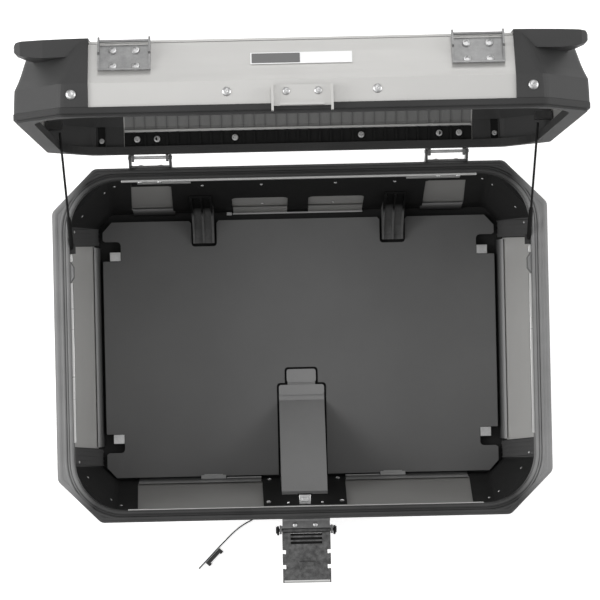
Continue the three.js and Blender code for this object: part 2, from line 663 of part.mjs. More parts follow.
function lidShell() {
  for (const [end, side] of ENDS) addLid(`lid_${end}_panel`, lidSheet('y', side, 0), ALUMINIUM);
  for (const [name, side] of SIDES) addLid(`lid_${name}_panel`, lidSheet('x', side, 0), ALUMINIUM);
  const block = lidBlock(0, LID_TALL);
  const hollow = lidHollow(CORNER_THICK, LID_TALL - LID_SKIN);
  const slots = union([
    lidSheet('y', -1, FIT), lidSheet('y', 1, FIT), lidSheet('x', -1, FIT), lidSheet('x', 1, FIT),
  ]);
  const flanges = lidBlock(SHEET_IN + FIT, LID_TALL).subtract(hollow);
  const flangeTop = LID_LOW + LID_TALL - LID_SKIN - 1;
  const flangeBox = box(LID_FLANGE_FROM, LID_CORNER_FROM.x + 1, 140, 260, 200, flangeTop);
  for (const [end, sideY] of ENDS) {
    for (const [name, sideX] of SIDES) {
      const spanX = sideX < 0 ? [-330, -LID_CORNER_FROM.x] : [LID_CORNER_FROM.x, 330];
      const spanY = sideY < 0 ? [-260, -LID_CORNER_FROM.y] : [LID_CORNER_FROM.y, 260];
      const quarter = box(...spanX, ...spanY, 200, 400);
      let reach = flangeBox;
      if (sideX < 0) reach = mirrored(reach, 0);
      if (sideY < 0) reach = mirrored(reach, 1);
      const corner = block.add(horn(sideX, sideY)).subtract(hollow).intersect(quarter)
        .add(flanges.intersect(reach))
        .subtract(slots);
      addLid(`lid_corner_${end}_${name}`, corner, BLACK);
    }
  }
}

// The top sheet is a cross between the four corners, with a raised field in the middle.
function lidTop() {
  const high = LID_LOW + LID_TALL - 0.4;
  const low = high - 2.2;
  const outline = octagon(RIM.x - 15 - SHEET_OUT, RIM.y - 20 - SHEET_OUT, 40);
  const keep = union([
    box(-LID_CORNER_FROM.x + GAP, LID_CORNER_FROM.x - GAP, -300, 300, 200, 400),
    box(-330, 330, -LID_CORNER_FROM.y + GAP, LID_CORNER_FROM.y - GAP, 200, 400),
  ]);
  const sheet = alongZ(outline, low, high).intersect(keep);
  const field = loft([
    { z: high - 1, points: octagon(206, 150, 40) },
    { z: high + 7, points: octagon(196, 140, 38) },
  ]);
  const under = loft([
    { z: low - 1, points: octagon(203, 147, 39) },
    { z: high + 4.8, points: octagon(194, 138, 37) },
  ]);
  const ribs = [];
  for (const y of [-84, -28, 28, 84]) {
    ribs.push(loft([
      { z: high + 5.5, points: octagon(176, 9, 8).map(([u, v]) => [u, v + y]) },
      { z: high + 9.5, points: octagon(172, 5.5, 5).map(([u, v]) => [u, v + y]) },
    ]));
  }
  addLid('lid_top_panel', sheet.add(field).subtract(under).add(union(ribs)), ALUMINIUM);
}

function lidRim() {
  const seam = LID_LOW + SEAM.high;
  const band = loft([
    { z: seam, points: octagon(RIM.x - 0.6, RIM.y - 0.6, RIM.corner - 0.2, SOFT) },
    { z: seam + 0.8, points: octagon(RIM.x, RIM.y, RIM.corner, SOFT) },
    { z: LID_LOW + LID_BAND, points: octagon(RIM.x, RIM.y, RIM.corner, SOFT) },
  ]);
  const cut = RIM.corner - SEAM.deep * (2 - Math.SQRT2);
  const inner = octagon(RIM.x - SEAM.deep, RIM.y - SEAM.deep, cut, SOFT);
  const step = alongZ(inner, LID_LOW, seam + 0.5);
  const mouth = alongZ(roundedBox(MOUTH.x, MOUTH.y, MOUTH.radius, 8), LID_LOW - 1, LID_LOW + 20);
  addLid('lid_rim_frame', band.add(step).subtract(mouth), BLACK);
}

// Black strip with upright ribs along the inside of the lid's rear wall.
function lidLiner() {
  const half = LID_FLANGE_FROM - 1;
  const back = RIM.y - 0.5 - SHEET_IN - GAP - 0.1;
  const low = LID_LOW + LID_BAND + GAP;
  const high = low + 16.5;
  const strip = [box(-half, half, back - 2, back, low, high)];
  const pitch = 12.9;
  for (let k = -15; k <= 15; k += 1) {
    const x = k * pitch;
    strip.push(box(x - 1.2, x + 1.2, back - 4, back - 1.9, low, high));
  }
  addLid('lid_liner_strip', union(strip), BLACK);
}

function lidFittings() {
  const face = -RIM.y - 0.4;
  const half = 31;
  const top = LID_LOW + 27;
  const striker = union([
    box(-half, half, face - 2.4, face, LID_LOW + 6, top),
    box(-half + 9, half - 9, -221, face, LID_LOW + 6, LID_LOW + 8.4),
    box(-half, -half + 2.4, face - 9, face, LID_LOW + 1, top),
    box(half - 2.4, half, face - 9, face, LID_LOW + 1, top),
  ]);
  addLid('striker_bracket', striker, STEEL);

  // The slanted face of the front sheet, as points of Y and height at two levels.
  const slope = (h) => {
    const next = LID_SECTIONS.findIndex((section) => section.h >= h);
    const [a, b] = [LID_SECTIONS[next - 1], LID_SECTIONS[next]];
    return RIM.y - (a.y + ((b.y - a.y) * (h - a.h)) / (b.h - a.h)) - SHEET_OUT;
  };
  const onSlope = (h, out) => [-slope(h) - out, LID_LOW + h];
  const plate = alongX([
    onSlope(49.5, GAP + 0.3), onSlope(61.5, GAP + 0.3), onSlope(61.5, 1.6), onSlope(49.5, 1.6),
  ], -51, 51);
  addLid('name_plate', plate, PLATE);

  const bracket = { from: 151, to: 204, low: 46, high: 72.5, ear: 11 };
  const levels = [bracket.low, 50, 62, bracket.high];
  const sheet = alongX([
    ...levels.map((h) => onSlope(h, GAP)),
    ...levels.reverse().map((h) => onSlope(h, GAP + 2)),
  ], bracket.from, bracket.to);
  const earOutline = [
    onSlope(bracket.low, GAP), onSlope(50, GAP), onSlope(62, GAP), onSlope(bracket.high, GAP),
    [-slope(bracket.high) - 3, LID_LOW + bracket.high + 8.5],
    [-slope(bracket.high) - 7, LID_LOW + bracket.high + 8],
    onSlope(bracket.high - 8, bracket.ear), onSlope(62, bracket.ear - 3), onSlope(bracket.low, GAP + 3),
  ];
  const rodAt = [-slope(bracket.high) - 5, LID_LOW + bracket.high + 4];
  const lipTop = bracket.low + 2;
  const lip = alongX([
    onSlope(bracket.low, 6), onSlope(lipTop, 6), onSlope(lipTop, GAP), onSlope(bracket.low, GAP),
  ], bracket.from, bracket.to);
  const full = union([
    sheet,
    lip,
    alongX(earOutline, bracket.from, bracket.from + 2),
    alongX(earOutline, bracket.to - 2, bracket.to),
    rod([bracket.from, ...rodAt], [bracket.to, ...rodAt], 1.4, 10),
  ]);
  for (const [end, sideY] of ENDS) {
    for (const [name, sideX] of SIDES) {
      let solid = sideX > 0 ? full : mirrored(full, 0);
      if (sideY > 0) solid = mirrored(solid, 1);
      addLid(`tie_down_bracket_${end}_${name}`, solid, STEEL);
    }
  }
}

// ---- tag on a thin cord -------------------------------------------------------------------------

function tagOnCord() {
  const route = [
    [-36, -196, 41], [-36.5, -197.5, 32], [-38, -200, 20], [-42, -205, 9], [-49, -212, 3],
    [-58, -220, 1.3], [-67, -226, 1.1], [-75, -230.2, 1.1], [-83, -235.2, 1.1], [-90, -240.7, 1.1],
    [-97, -247, 1.1], [-104, -254, 1.1], [-111, -260.8, 1.1], [-124, -274.3, 1.1], [-137, -287.8, 1.1],
  ];
  const curve = new THREE.CatmullRomCurve3(route.map((point) => new THREE.Vector3(...point)));
  const section = toShape(arc(0, 0, 0.8, 0, 315, 7));
  addBase('tag_cord', toSolid(new THREE.ExtrudeGeometry(section, { steps: 45, extrudePath: curve })), CORD);
  // The tag lies beside the straight end of its cord, with a foot at either end.
  const long = 26;
  const near = 1.1;
  const waist = 6;
  const foot = 8;
  const outline = [
    [0, near], [long, near], [long, foot], [long - 4.5, foot], [long - 4.5, waist], [4.5, waist], [4.5, foot],
    [0, foot],
  ];
  const tag = extruded(outline, 2.2).rotateZ(THREE.MathUtils.degToRad(226.1)).translate(-111, -260.8, 0.1);
  addBase('cord_tag', toSolid(tag), RUBBER);
}

bottomPan();
baseWalls();
baseRim();
floorCover();
lockCover();
innerLiners();
strapGuides();
strapAnchors();
hinges();
stays();
latch();
lockAndDocking();
lidRim();
lidShell();
lidTop();
lidLiner();
lidFittings();
tagOnCord();

export default root;
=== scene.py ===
# Motorcycle top case seen from straight above, with its lid open. Metres, +Z up, -Y the front.
import json
import math

import bmesh
import bpy
from mathutils import Matrix, Vector


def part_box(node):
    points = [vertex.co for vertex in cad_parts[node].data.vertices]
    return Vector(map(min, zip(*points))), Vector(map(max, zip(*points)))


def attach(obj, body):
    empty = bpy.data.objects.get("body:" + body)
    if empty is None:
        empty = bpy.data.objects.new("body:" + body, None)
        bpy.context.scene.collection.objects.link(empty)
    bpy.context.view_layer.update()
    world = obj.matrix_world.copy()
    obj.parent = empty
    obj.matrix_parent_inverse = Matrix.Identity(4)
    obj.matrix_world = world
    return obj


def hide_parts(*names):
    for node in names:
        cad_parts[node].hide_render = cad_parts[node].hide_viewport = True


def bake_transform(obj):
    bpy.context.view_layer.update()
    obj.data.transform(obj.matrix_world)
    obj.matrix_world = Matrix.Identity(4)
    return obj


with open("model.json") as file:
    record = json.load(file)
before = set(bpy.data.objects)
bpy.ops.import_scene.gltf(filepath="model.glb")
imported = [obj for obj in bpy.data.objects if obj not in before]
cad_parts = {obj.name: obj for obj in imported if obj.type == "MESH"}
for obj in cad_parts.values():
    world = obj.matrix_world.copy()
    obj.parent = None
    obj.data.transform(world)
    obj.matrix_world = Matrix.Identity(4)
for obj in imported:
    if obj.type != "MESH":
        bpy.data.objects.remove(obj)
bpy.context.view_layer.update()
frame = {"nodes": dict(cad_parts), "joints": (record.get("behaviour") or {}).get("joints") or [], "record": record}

# ---- sizes, from the frame ----------------------------------------------------------------------

MM = 0.001
LID_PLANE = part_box("lid_rim_frame")[0][1]  # Y of the open lid's rim
HINGE = Vector(next(j for j in frame["joints"] if j["name"] == "lid_hinge")["pos_m"])
# The lid's own space, as if closed: x, y, and height above its rim plane. This turns it open.
LID = Matrix((
    (1, 0, 0, 0),
    (0, 0, 1, LID_PLANE),
    (0, -1, 0, HINGE.y + HINGE.z),
    (0, 0, 0, 1),
))
BASE = Matrix.Identity(4)
SIDES = (("left", -1), ("right", 1))

# ---- camera -------------------------------------------------------------------------------------


CAMERA_PLACE = (-0.032, -0.027, 2.905)
CAMERA_TURN = -1.25  # degrees, about the line of sight
CAMERA_LENS = 135.1
CAMERA_SHIFT = (0.04, 0.108)


def make_camera():
    """Straight above the open case, at the distance where the floor, rim and lid line up."""
    data = bpy.data.cameras.new("camera")
    data.sensor_width = 36
    data.lens = CAMERA_LENS
    data.shift_x, data.shift_y = CAMERA_SHIFT
    data.clip_end = 20
    camera = bpy.data.objects.new("camera", data)
    camera.location = CAMERA_PLACE
    camera.rotation_euler = (0, 0, math.radians(CAMERA_TURN))
    bpy.context.scene.collection.objects.link(camera)
    bpy.context.scene.camera = camera


# ---- meshes -------------------------------------------------------------------------------------


def link_mesh(name, mesh, body, look, space=BASE, smooth=35):
    """A new piece from a mesh: it goes into place, rides its body and takes its look."""
    mesh.transform(space)
    mesh.materials.append(look)
    piece = bpy.data.objects.new(name, mesh)
    bpy.context.scene.collection.objects.link(piece)
    if smooth:
        for face in mesh.polygons:
            face.use_smooth = True
        mesh.set_sharp_from_angle(angle=math.radians(smooth))
    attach(piece, body)
    return piece


def link_bmesh(name, bm, body, look, space=BASE, smooth=35):
    bmesh.ops.recalc_face_normals(bm, faces=bm.faces)
    mesh = bpy.data.meshes.new(name)
    bm.to_mesh(mesh)
    bm.free()
    return link_mesh(name, mesh, body, look, space, smooth)


def add_bevel(piece, width, segments=2, angle=30):
    bevel = piece.modifiers.new("edges", "BEVEL")
    bevel.width = width
    bevel.segments = segments
    bevel.limit_method = "ANGLE"
    bevel.angle_limit = math.radians(angle)
    bevel.harden_normals = False
    return bevel


def tube_points(points, radius, sides=10):
    """A closed tube along points, as a bmesh, with round caps left flat."""
    bm = bmesh.new()
    rings = []
    count = len(points)
    up = Vector((0.13, 0.31, 0.94)).normalized()
    for i, point in enumerate(points):
        ahead = points[min(i + 1, count - 1)] - points[max(i - 1, 0)]
        ahead.normalize()
        across = ahead.cross(up).normalized()
        over = across.cross(ahead).normalized()
        up = over
        width = radius[i] if isinstance(radius, list) else radius
        ring = []
        for k in range(sides):
            angle = 2 * math.pi * k / sides
            way = across * math.cos(angle) + over * math.sin(angle)
            ring.append(bm.verts.new(point + way * width))
        rings.append(ring)
    for one, two in zip(rings, rings[1:]):
        for k in range(sides):
            bm.faces.new((one[k], one[(k + 1) % sides], two[(k + 1) % sides], two[k]))
    bm.faces.new(list(reversed(rings[0])))
    bm.faces.new(rings[-1])
    return bm


def smooth_path(points, steps):
    """Catmull-Rom points through a short list."""
    path = []
    ends = [points[0] * 2 - points[1], *points, points[-1] * 2 - points[-2]]
    for a, b, c, d in zip(ends, ends[1:], ends[2:], ends[3:]):
        for k in range(steps):
            t = k / steps
            square = (2 * a - 5 * b + 4 * c - d) * t**2
            cube = (3 * b - a - 3 * c + d) * t**3
            path.append(0.5 * (2 * b + (c - a) * t + square + cube))
    path.append(points[-1])
    return path


# ---- materials ----------------------------------------------------------------------------------


class Look:
    """A material with its noise, colour and bump nodes, in the object's own coordinates."""

    def __init__(self, name, roughness, metallic=0.0, specular=0.5):
        self.material = bpy.data.materials.new(name)
        self.material.use_nodes = True
        self.nodes = self.material.node_tree.nodes
        self.links = self.material.node_tree.links
        self.shader = self.nodes["Principled BSDF"]
        self.shader.inputs["Roughness"].default_value = roughness
        self.shader.inputs["Metallic"].default_value = metallic
        self.shader.inputs["Specular IOR Level"].default_value = specular
        self.places = self.nodes.new("ShaderNodeTexCoord").outputs["Object"]
        self.height = None

    def add(self, kind, **inputs):
        node = self.nodes.new(kind)
        for key, value in inputs.items():
            socket = node.inputs[key.replace("_", " ")]
            if isinstance(value, bpy.types.NodeSocket):
                self.links.new(value, socket)
            else:
                socket.default_value = value
        return node

    def noise(self, scale, detail=3.0, stretch=None, roughness=0.5):
        places = self.places
        if stretch:
            mapping = self.add("ShaderNodeMapping", Vector=places)
            mapping.inputs["Scale"].default_value = stretch
            places = mapping.outputs["Vector"]
        node = self.add("ShaderNodeTexNoise", Vector=places, Scale=scale, Detail=detail)
        node.inputs["Roughness"].default_value = roughness
        return node.outputs["Fac"]

    def cells(self, scale):
        node = self.add("ShaderNodeTexVoronoi", Vector=self.places, Scale=scale)
        return node.outputs["Distance"]

    def ramp(self, factor, stops):
        node = self.add("ShaderNodeValToRGB", Fac=factor)
        band = node.color_ramp
        while len(band.elements) < len(stops):
            band.elements.new(0.5)
        for element, (place, colour) in zip(band.elements, stops):
            element.position = place
            element.color = (*colour, 1) if len(colour) == 3 else colour
        return node.outputs["Color"]

    def blend(self, factor, one, two, how="MIX"):
        node = self.nodes.new("ShaderNodeMix")
        node.data_type = "RGBA"
        node.blend_type = how
        for socket, value in ((node.inputs[0], factor), (node.inputs[6], one), (node.inputs[7], two)):
            if isinstance(value, bpy.types.NodeSocket):
                self.links.new(value, socket)
            elif isinstance(value, float):
                socket.default_value = value
            else:
                socket.default_value = (*value, 1)
        return node.outputs[2]

    def levels(self, factor, low, high):
        node = self.add("ShaderNodeMapRange", Value=factor)
        node.inputs["To Min"].default_value = low
        node.inputs["To Max"].default_value = high
        return node.outputs["Result"]

    def colour(self, socket):
        self.links.new(socket, self.shader.inputs["Base Color"])
        return self

    def rough(self, socket):
        self.links.new(socket, self.shader.inputs["Roughness"])
        return self

    def bump(self, height, distance, strength=1.0):
        node = self.add("ShaderNodeBump", Height=height, Distance=distance, Strength=strength)
        if self.height:
            self.links.new(self.height, node.inputs["Normal"])
        self.height = node.outputs["Normal"]
        self.links.new(self.height, self.shader.inputs["Normal"])
        return self


def grey(value):
    return (value, value, value)


def plastic(name, level, roughness, grain=900, depth=0.00006, spread=0.25, specular=0.5):
    """Moulded plastic: fine leather-like grain, slight clouding and scuffed patches."""
    look = Look(name, roughness, specular=specular)
    clouds = look.noise(14, 4)
    tone = look.ramp(clouds, [(0.3, grey(level * (1 - spread))), (0.7, grey(level * (1 + spread)))])
    scuffs = look.levels(look.noise(70, 5, roughness=0.7), 0.75, 1.3)
    tone = look.blend(0.5, tone, look.ramp(scuffs, [(0.0, grey(level * 0.7)), (1.0, grey(level * 1.3))]))
    look.colour(tone)
    look.rough(look.levels(clouds, roughness - 0.07, roughness + 0.08))
    look.bump(look.cells(grain), depth)
    return look.material


def tinted(name, colour, roughness):
    """Coloured moulding with slight clouding."""
    look = Look(name, roughness)
    dull = tuple(channel * 0.8 for channel in colour)
    look.colour(look.ramp(look.noise(14, 4), [(0.3, dull), (0.7, colour)]))
    look.bump(look.cells(1500), 0.00003)
    return look.material


def guide_painted_light_and_shade(name):
    """Black moulding whose lower ramp, which faces up, is painted paler as painted light, and whose upright part
    is painted nearly black as painted shade; heights are in metres above the floor.
    """
    look = Look(name, 0.6, specular=0.12)
    split = look.add("ShaderNodeSeparateXYZ", Vector=look.places)
    height = look.add("ShaderNodeMapRange", Value=split.outputs["Z"])
    for key, value in (("From Min", 0.052), ("From Max", 0.064), ("To Min", 0.0), ("To Max", 1.0)):
        height.inputs[key].default_value = value
    clouds = look.noise(30, 4)
    # Paler on the ramp below 52 mm (painted light), nearly black above 64 mm (painted shade).
    low = look.ramp(clouds, [(0.3, grey(0.09)), (0.7, grey(0.14))])
    high = look.ramp(clouds, [(0.3, grey(0.003)), (0.7, grey(0.005))])
    look.colour(look.blend(height.outputs["Result"], low, high))
    look.bump(look.cells(1100), 0.00003)
    return look.material


def sheet_foot(name, level):
    """Aluminium that falls into shade towards the floor; heights are in metres."""
    look = Look(name, 0.5, metallic=0.4)
    split = look.add("ShaderNodeSeparateXYZ", Vector=look.places)
    height = look.add("ShaderNodeMapRange", Value=split.outputs["Z"])
    height.inputs["From Min"].default_value = 0.010
    height.inputs["From Max"].default_value = 0.030
    mottle = look.noise(20, 4)
    pale = look.ramp(mottle, [(0.3, grey(level * 0.94)), (0.7, grey(level * 1.04))])
    look.colour(look.blend(height.outputs["Result"], grey(0.02), pale))
    look.bump(look.noise(1400, 2), 0.00002)
    return look.material


def painted_side_light(name, level, side_light_level, roughness, specular):
    """Moulding whose left and right sides are painted paler than its front and rear: painted light, standing in
    for the side lamps' shine on the rim's rounded band.
    """
    look = Look(name, roughness, specular=specular)
    split = look.add("ShaderNodeSeparateXYZ", Vector=look.places)
    reach = []
    for axis in ("X", "Y"):
        size = look.add("ShaderNodeMath", Value=split.outputs[axis])
        size.operation = "ABSOLUTE"
        reach.append(size.outputs["Value"])
    lead = look.nodes.new("ShaderNodeMath")
    lead.operation = "SUBTRACT"
    look.links.new(reach[0], lead.inputs[0])
    look.links.new(reach[1], lead.inputs[1])
    # Mask for the left and right runs, which take the paler colour: painted light.
    side = look.add("ShaderNodeMapRange", Value=lead.outputs["Value"])
    side.inputs["From Min"].default_value = 0.060
    side.inputs["From Max"].default_value = 0.115
    clouds = look.noise(18, 5, roughness=0.6)
    dark = look.ramp(clouds, [(0.3, grey(level * 0.8)), (0.7, grey(level * 1.2))])
    pale = look.ramp(clouds, [(0.3, grey(side_light_level * 0.88)), (0.7, grey(side_light_level * 1.12))])
    look.colour(look.blend(side.outputs["Result"], dark, pale))
    look.bump(look.cells(1300), 0.000015)
    return look.material


def aluminium(name, level, roughness, warm=1.0, metallic=0.6):
    """Clear-anodised sheet: faint brushing along X, soft mottling, tiny pits."""
    look = Look(name, roughness, metallic=metallic)
    brushing = look.noise(260, 4, stretch=(0.06, 1, 1))
    mottle = look.noise(9, 5, roughness=0.65)
    bright = (level * warm, level, level * (2 - warm) * 0.985)
    dull = tuple(c * 0.88 for c in bright)
    look.colour(look.blend(look.levels(mottle, 0.1, 0.9), dull, bright))
    look.rough(look.levels(brushing, roughness - 0.08, roughness + 0.1))
    look.bump(brushing, 0.00002)
    look.bump(look.noise(1400, 2), 0.00002)
    return look.material


def steel(name, level, roughness, mottled=0.12, scale=90, metallic=0.9):
    """Zinc-plated or galvanised steel."""
    look = Look(name, roughness, metallic=metallic)
    spangle = look.noise(scale, 6, roughness=0.7)
    dull = grey(level * (1 - mottled))
    bright = grey(level * (1 + mottled))
    look.colour(look.ramp(spangle, [(0.35, dull), (0.65, bright)]))
    look.rough(look.levels(look.noise(scale * 0.5, 4), roughness - 0.08, roughness + 0.1))
    look.bump(look.noise(700, 3), 0.00003)
    return look.material


LOOKS = {
    "black": plastic("black_moulding", 0.032, 0.55, specular=0.4),
    # black_body and black_lining are the same black plastic as black_moulding, painted darker still: painted shade
    # inside the case, on the body, its corners and the linings.
    "deep": plastic("black_body", 0.012, 0.6, grain=1100, depth=0.00003, specular=0.25),
    "inner": plastic("black_lining", 0.006, 0.6, grain=1200, depth=0.00003, specular=0.2),
    # The base rim: its left and right runs are painted paler than its front and rear, as painted light.
    "rim": painted_side_light("rim_moulding", 0.034, 0.21, 0.45, 0.4),
    "lid_rim": plastic("lid_rim_moulding", 0.030, 0.6, grain=1100, depth=0.00003, specular=0.25),
    "flute": plastic("fluted_moulding", 0.075, 0.55, grain=1100, depth=0.00003, specular=0.3),
    "foot": sheet_foot("sheet_foot", 0.55),
    # The side sheets' feet are a paler copy of the wall sheets' feet: painted light on the side walls.
    "side_foot": sheet_foot("side_sheet_foot", 0.72),
    "rib": plastic("rib_edges", 0.10, 0.5, grain=1400, depth=0.00002),
    "guide": guide_painted_light_and_shade("strap_guide_moulding"),
    "floor": plastic("floor_board", 0.096, 0.6, grain=1600, depth=0.00003, spread=0.12),
    "cover": plastic("lock_cover_sheet", 0.19, 0.42, grain=1800, depth=0.00002, spread=0.08),
    "tab": plastic("cover_tab", 0.28, 0.5, grain=1800, depth=0.00002, spread=0.1),
    # The seal: its left and right runs are painted paler than its front and rear, as painted light.
    "rubber": painted_side_light("seal_rubber", 0.024, 0.19, 0.7, 0.3),
    "alu": aluminium("anodised_sheet", 0.62, 0.42, warm=1.01),
    # The side sheets are a paler, less metallic copy of the anodised sheet: painted light, for the light the side
    # walls catch inside the case.
    "side_alu": aluminium("anodised_side_sheet", 0.74, 0.48, warm=1.01, metallic=0.4),
    # Bright metal for the sheets' edges; on the lever's lip it is a painted highlight.
    "bright": aluminium("edge_metal_and_lip_highlight", 0.72, 0.3, warm=1.0, metallic=0.7),
    "lining": aluminium("lid_sheet_inside", 0.22, 0.45, warm=1.0),
    "steel": steel("zinc_plate", 0.60, 0.3),
    "lid_steel": steel("stamped_zinc", 0.33, 0.38, mottled=0.16),
    "bracket": steel("latch_bracket_sheet", 0.17, 0.4, mottled=0.15),
    "cast": steel("galvanised_lever", 0.12, 0.45, mottled=0.4, scale=160),
    "cord": plastic("braided_cord", 0.010, 0.8, grain=3000, depth=0.0001, specular=0.2),
    "tag": plastic("tag_plastic", 0.014, 0.45),
    "plate": plastic("plate_face", 0.80, 0.35, grain=3000, depth=0.000004, spread=0.03),
    "plate_dark": plastic("plate_field", 0.13, 0.4, grain=3000, depth=0.000004, spread=0.06),
    "plate_light": plastic("plate_white", 0.80, 0.35, grain=3000, depth=0.000004, spread=0.02),
    "red": tinted("red_button", (0.42, 0.02, 0.02), 0.4),
}
SLOT_LOOKS = {
    "aluminium": "alu",
    "black_plastic": "black",
    "seal_rubber": "rubber",
    "floor_plate": "floor",
    "steel": "steel",
    "galvanised_steel": "cast",
    "stay_cord": "cord",
    "tag_plastic": "tag",
    "name_plate": "plate",
    "button_red": "red",
}
NODE_LOOKS = {
    "rear_liner": "inner",
    "front_lock_backplate": "inner",
    "strap_guide_left": "guide",
    "strap_guide_right": "guide",
    "lid_liner_strip": "inner",
    "base_rim_frame": "rim",
    "lid_rim_frame": "lid_rim",
    "bottom_pan": "deep",
    "base_corner_front_left": "deep",
    "base_corner_front_right": "deep",
    "base_corner_rear_left": "deep",
    "base_corner_rear_right": "deep",
    "striker_bracket": "alu",
    "base_left_panel": "side_alu",
    "base_right_panel": "side_alu",
    "hinge_base_leaf_left": "bracket",
    "hinge_base_leaf_right": "bracket",
    "hinge_lid_leaf_left": "bracket",
    "hinge_lid_leaf_right": "bracket",
    "lock_cover": "cover",
    "latch_bracket": "bracket",
    "tie_down_bracket_front_left": "lid_steel",
    "tie_down_bracket_front_right": "lid_steel",
    "tie_down_bracket_rear_left": "lid_steel",
    "tie_down_bracket_rear_right": "lid_steel",
}


def dress_frame():
    """Gives every CAD node its material and softened edges."""
    slots = {entry["node"]: entry["material_slot"] for entry in frame["record"]["subparts"]}
    for name, node in frame["nodes"].items():
        look = LOOKS[NODE_LOOKS.get(name, SLOT_LOOKS[slots[name]])]
        node.data.materials.clear()
        node.data.materials.append(look)
        add_bevel(node, 0.5 * MM)


# ---- cords --------------------------------------------------------------------------------------

STAY_RADIUS = 1.4 * MM


def sleeve_path_piece(name, path):
    """A moulded sleeve round the lower end of a stay, thinner at both of its ends."""
    radii = [2.0 * MM, *[2.7 * MM] * (len(path) - 2), 1.9 * MM]
    bm = tube_points(path, radii, 14)
    mesh = bpy.data.meshes.new(f"stay_sleeve_{name}")
    bm.to_mesh(mesh)
    bm.free()
    mesh.materials.append(LOOKS["inner"])
    piece = bpy.data.objects.new(f"stay_sleeve_{name}", mesh)
    bpy.context.scene.collection.objects.link(piece)
    return piece


def make_stays():
    """Two thin cords that hold the lid, each taut from a lug on the base to one in the lid."""
    for name, side in SIDES:
        lug_low, lug_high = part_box(f"stay_anchor_base_{name}")
        cord_low, cord_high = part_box(f"stay_{name}")
        x_low = side * (min(abs(cord_low[0]), abs(cord_high[0])) + STAY_RADIUS)
        x_high = side * (max(abs(cord_low[0]), abs(cord_high[0])) - STAY_RADIUS)
        start = Vector((x_low, (lug_low[1] + lug_high[1]) / 2, cord_low[2] + STAY_RADIUS))
        end = Vector((x_high, cord_high[1] - STAY_RADIUS, cord_high[2] - STAY_RADIUS))
        path = [start.lerp(end, k / 24) for k in range(25)]
        bm = tube_points(path, STAY_RADIUS, 10)
        mesh = bpy.data.meshes.new(f"stay_cord_{name}")
        bm.to_mesh(mesh)
        bm.free()
        mesh.materials.append(LOOKS["cord"])
        piece = bpy.data.objects.new(f"stay_cord_{name}", mesh)
        bpy.context.scene.collection.objects.link(piece)
        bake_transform(piece)
        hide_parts(f"stay_{name}")
        way = (end - start).normalized()
        sleeve_path = [start + way * (1.5 + 46 * k / 10) * MM for k in range(11)]
        sleeve = sleeve_path_piece(name, sleeve_path)
        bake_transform(sleeve)


TAG_ROUTE = [
    (-36, -196, 41), (-36.5, -197.5, 32), (-38, -200, 20), (-42, -205, 9), (-49, -212, 3),
    (-58, -220, 1.3), (-67, -226, 1.1), (-75, -230.2, 1.1), (-83, -235.2, 1.1), (-90, -240.7, 1.1),
    (-97, -247, 1.1), (-104, -254, 1.1), (-111, -260.8, 1.1), (-124, -274.3, 1.1),
    (-137, -287.8, 1.1),
]


def make_tag_cord():
    """The thin cord under the front, on the same route as in the CAD."""
    route = [Vector(point) * MM for point in TAG_ROUTE]
    path = smooth_path(route, 8)
    piece = link_bmesh("tag_line", tube_points(path, 0.8 * MM, 10), "case", LOOKS["cord"])
    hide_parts("tag_cord")


# ---- shapes for the small parts, in millimetres -------------------------------------------------

RIVET = ((1, 0), (1, 0.3), (0.86, 0.72), (0.6, 0.95), (0.3, 1.0), (0.24, 0.72), (0, 0.72))
SCREW = ((1, 0), (1, 0.55), (0.88, 0.92), (0.56, 1.0), (0.5, 0.35), (0, 0.35))


def add_head(bm, profile, place, way, radius, height, sides=20):
    """A turned rivet or screw head that stands on a surface at a place, facing a way."""
    way = Vector(way).normalized()
    across = way.orthogonal().normalized()
    over = way.cross(across)
    before = None
    for share, lift in profile:
        middle = Vector(place) + way * lift * height
        if share == 0:
            tip = bm.verts.new(middle)
            for k in range(sides):
                bm.faces.new((before[k], before[(k + 1) % sides], tip))
            break
        ring = []
        for k in range(sides):
            angle = 2 * math.pi * k / sides
            reach = radius * share
            turned = across * math.cos(angle) + over * math.sin(angle)
            ring.append(bm.verts.new(middle + turned * reach))
        if before:
            for k in range(sides):
                bm.faces.new((before[k], before[(k + 1) % sides], ring[(k + 1) % sides], ring[k]))
        else:
            bm.faces.new(ring)
        before = ring


def add_prism(bm, low_ring, high_ring):
    """A closed solid between two outlines with equally many points."""
    low = [bm.verts.new(point) for point in low_ring]
    high = [bm.verts.new(point) for point in high_ring]
    count = len(low)
    for k in range(count):
        bm.faces.new((low[k], low[(k + 1) % count], high[(k + 1) % count], high[k]))
    bm.faces.new(low)
    bm.faces.new(high)


def add_block(bm, low, high):
    (x0, y0, z0), (x1, y1, z1) = low, high
    corners = ((x0, y0), (x1, y0), (x1, y1), (x0, y1))
    add_prism(bm, [(x, y, z0) for x, y in corners], [(x, y, z1) for x, y in corners])


def add_slab(bm, corners, way):
    """A thin plate with the given face, thickened along a way."""
    add_prism(bm, corners, [Vector(corner) + Vector(way) for corner in corners])


def finish_piece(name, bm, body, look, space=BASE, bevel=0.0, smooth=35):
    bmesh.ops.scale(bm, vec=(MM, MM, MM), verts=bm.verts)
    piece = link_bmesh(name, bm, body, look, space, smooth)
    if bevel:
        add_bevel(piece, bevel * MM)
    return piece


